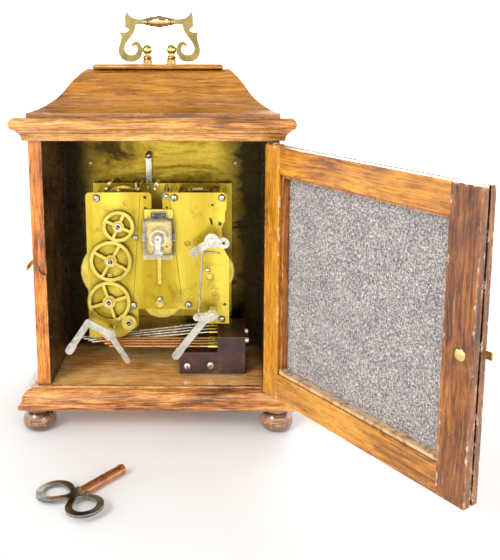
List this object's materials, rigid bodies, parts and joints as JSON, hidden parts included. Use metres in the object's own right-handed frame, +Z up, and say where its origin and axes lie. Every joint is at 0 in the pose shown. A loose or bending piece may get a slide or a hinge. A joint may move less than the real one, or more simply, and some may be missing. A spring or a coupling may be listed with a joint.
{
  "type": "mantel clock",
  "caption": "Bracket-style mantel clock in a moulded wooden case with bell top, bail handle, glazed front door, cloth-panelled rear door and chiming movement.",
  "frame": {"origin": "on the surface the four bun feet stand on, under the middle of the case", "axes": "+Z up, -Y the way the dial faces, +X to the right of someone facing the dial"},
  "size_m": [0.3327, 0.3188, 0.3455],
  "materials": {
    "walnut": "semi-gloss",
    "walnut_dark": "satin",
    "floor_wood": "semi-gloss",
    "cloth": "heathered",
    "glass": "clear",
    "brass_bright": "satin",
    "brass_aged": "antique",
    "brass_polished": "polished",
    "silvered": "satin",
    "blued_steel": "polished",
    "steel": "satin",
    "copper": "satin",
    "iron_maroon": "painted",
    "clear_plastic": "clear"
  },
  "bodies": {
    "case": {"case_side_left": "walnut", "case_side_right": "walnut", "base_moulding": "walnut", "floor_board": "floor_wood", "bun_feet": "walnut", "cove_moulding": "walnut", "top_slab": "walnut", "bell_top": "walnut", "cap_board": "walnut", "latch_keeper": "brass_polished", "door_pivots": "brass_polished", "handle_posts": "brass_polished", "mask_board": "walnut", "dial_plate": "brass_aged", "chapter_ring": "silvered", "dial_ornaments": "brass_aged", "dial_screws": "brass_polished", "movement_front_plate": "brass_bright", "movement_back_plate": "brass_bright", "movement_pillars": "brass_bright", "plate_screws": "steel", "platform_base": "brass_bright", "dust_cover": "clear_plastic", "pivot_studs": "steel", "gong_block": "iron_maroon", "rod_collars": "brass_bright", "gong_rods_steel": "steel", "gong_rods_copper": "copper", "block_screws": "steel"},
    "front_door": {"front_door_stiles": "walnut", "front_door_rails": "walnut", "front_glass": "glass", "glass_bead": "walnut_dark", "front_door_knob": "brass_polished"},
    "rear_door": {"rear_door_stiles": "walnut", "rear_door_rails": "walnut", "cloth_beads": "walnut", "cloth_panel": "cloth"},
    "latch": {"latch_button": "brass_polished", "latch_spindle": "brass_polished"},
    "handle": {"handle_scrolls": "brass_aged", "handle_grip": "brass_aged"},
    "minute": {"minute_hand": "blued_steel", "centre_wheel": "brass_bright"},
    "hour": {"hour_hand": "blued_steel"},
    "chime_barrel": {"chime_barrel": "brass_bright"},
    "strike_barrel": {"strike_barrel": "brass_bright"},
    "time_barrel": {"time_barrel": "brass_bright"},
    "gear_bottom": {"chime_gear_bottom": "brass_bright"},
    "gear_middle": {"chime_gear_middle": "brass_bright"},
    "gear_top": {"chime_gear_top": "brass_bright"},
    "gear_drum": {"chime_gear_drum": "brass_bright"},
    "balance": {"balance_wheel": "steel"},
    "strike_hammer": {"strike_hammer": "steel"},
    "lift_lever": {"lift_lever": "steel"},
    "lift_link": {"lift_link": "steel"},
    "hammer_crank": {"hammer_crank": "steel"},
    "silent_lever": {"silent_lever": "steel"},
    "key": {"key_bow": "steel", "key_tube": "copper"}
  },
  "joints": [
    {"name": "rear_door_hinge", "type": "hinge", "parent": "case", "child": "rear_door", "pos_m": [-0.0965, 0.0749, 0.141], "axis": [0, 0, 1], "range_deg": [-126, 44]},
    {"name": "latch_turn", "type": "hinge", "parent": "rear_door", "child": "latch", "pos_m": [-0.20407, 0.22789, 0.138], "axis": [-0.809, -0.5878, 0], "range_deg": [-90, 25]},
    {"name": "front_door_hinge", "type": "hinge", "parent": "case", "child": "front_door", "pos_m": [-0.0965, -0.0615, 0.141], "axis": [0, 0, -1], "range_deg": [0, 170]},
    {"name": "handle_swing", "type": "hinge", "parent": "case", "child": "handle", "pos_m": [0, 0, 0.313], "axis": [1, 0, 0], "range_deg": [-90, 90]},
    {"name": "minute_turn", "type": "hinge", "parent": "case", "child": "minute", "pos_m": [0, 0, 0.127], "axis": [0, 1, 0], "continuous": true},
    {"name": "hour_turn", "type": "hinge", "parent": "case", "child": "hour", "pos_m": [0, 0, 0.127], "axis": [0, 1, 0], "continuous": true},
    {"name": "chime_winding", "type": "hinge", "parent": "case", "child": "chime_barrel", "pos_m": [0.043, 0.01, 0.121], "axis": [0, 1, 0], "continuous": true},
    {"name": "strike_winding", "type": "hinge", "parent": "case", "child": "strike_barrel", "pos_m": [-0.043, 0.01, 0.121], "axis": [0, 1, 0], "continuous": true},
    {"name": "time_winding", "type": "hinge", "parent": "case", "child": "time_barrel", "pos_m": [0, 0.01, 0.095], "axis": [0, 1, 0], "continuous": true},
    {"name": "gear_bottom_turn", "type": "hinge", "parent": "case", "child": "gear_bottom", "pos_m": [0.0436, 0.033, 0.0985], "axis": [0, 1, 0], "continuous": true},
    {"name": "gear_middle_turn", "type": "hinge", "parent": "case", "child": "gear_middle", "pos_m": [0.04143, 0.033, 0.13494], "axis": [0, 1, 0], "continuous": true},
    {"name": "gear_top_turn", "type": "hinge", "parent": "case", "child": "gear_top", "pos_m": [0.0343, 0.033, 0.16562], "axis": [0, 1, 0], "continuous": true},
    {"name": "gear_drum_turn", "type": "hinge", "parent": "case", "child": "gear_drum", "pos_m": [0.02684, 0.033, 0.07995], "axis": [0, 1, 0], "continuous": true},
    {"name": "balance_swing", "type": "hinge", "parent": "case", "child": "balance", "pos_m": [0, 0.038, 0.1566], "axis": [0, 1, 0], "range_deg": [-150, 150]},
    {"name": "strike_hammer_lift", "type": "hinge", "parent": "case", "child": "strike_hammer", "pos_m": [0.0419, 0.046, 0.0745], "axis": [0, 1, 0], "range_deg": [-14, 0]},
    {"name": "lift_lever_turn", "type": "hinge", "parent": "case", "child": "lift_lever", "pos_m": [-0.0454, 0.046, 0.157], "axis": [0, 1, 0], "range_deg": [-12, 0]},
    {"name": "lift_link_turn", "type": "hinge", "parent": "lift_lever", "child": "lift_link", "pos_m": [-0.0375, 0.046, 0.1475], "axis": [0, 1, 0], "range_deg": [-0.5, 14.5]},
    {"name": "hammer_crank_turn", "type": "hinge", "parent": "case", "child": "hammer_crank", "pos_m": [-0.0455, 0.046, 0.0919], "axis": [0, 1, 0], "range_deg": [-8.5, 0.5]},
    {"name": "silent_lever_turn", "type": "hinge", "parent": "case", "child": "silent_lever", "pos_m": [0.0123, -0.0135, 0.187], "axis": [0, 1, 0], "range_deg": [-12, 12]},
    {"name": "key_lift_off", "type": "slide", "parent": "case", "child": "key", "axis": [0, 0, 1], "range_m": [0, 0.08]}
  ],
  "couplings": [
    {"joint": "hour_turn", "follows": "minute_turn", "ratio": 0.083333},
    {"joint": "gear_middle_turn", "follows": "gear_bottom_turn", "ratio": -1.0278},
    {"joint": "gear_top_turn", "follows": "gear_bottom_turn", "ratio": 1.3704},
    {"joint": "gear_drum_turn", "follows": "gear_bottom_turn", "ratio": -2.8462},
    {"joint": "lift_link_turn", "follows": "lift_lever_turn", "ratio": -1.171},
    {"joint": "hammer_crank_turn", "follows": "lift_lever_turn", "ratio": 0.687}
  ]
}
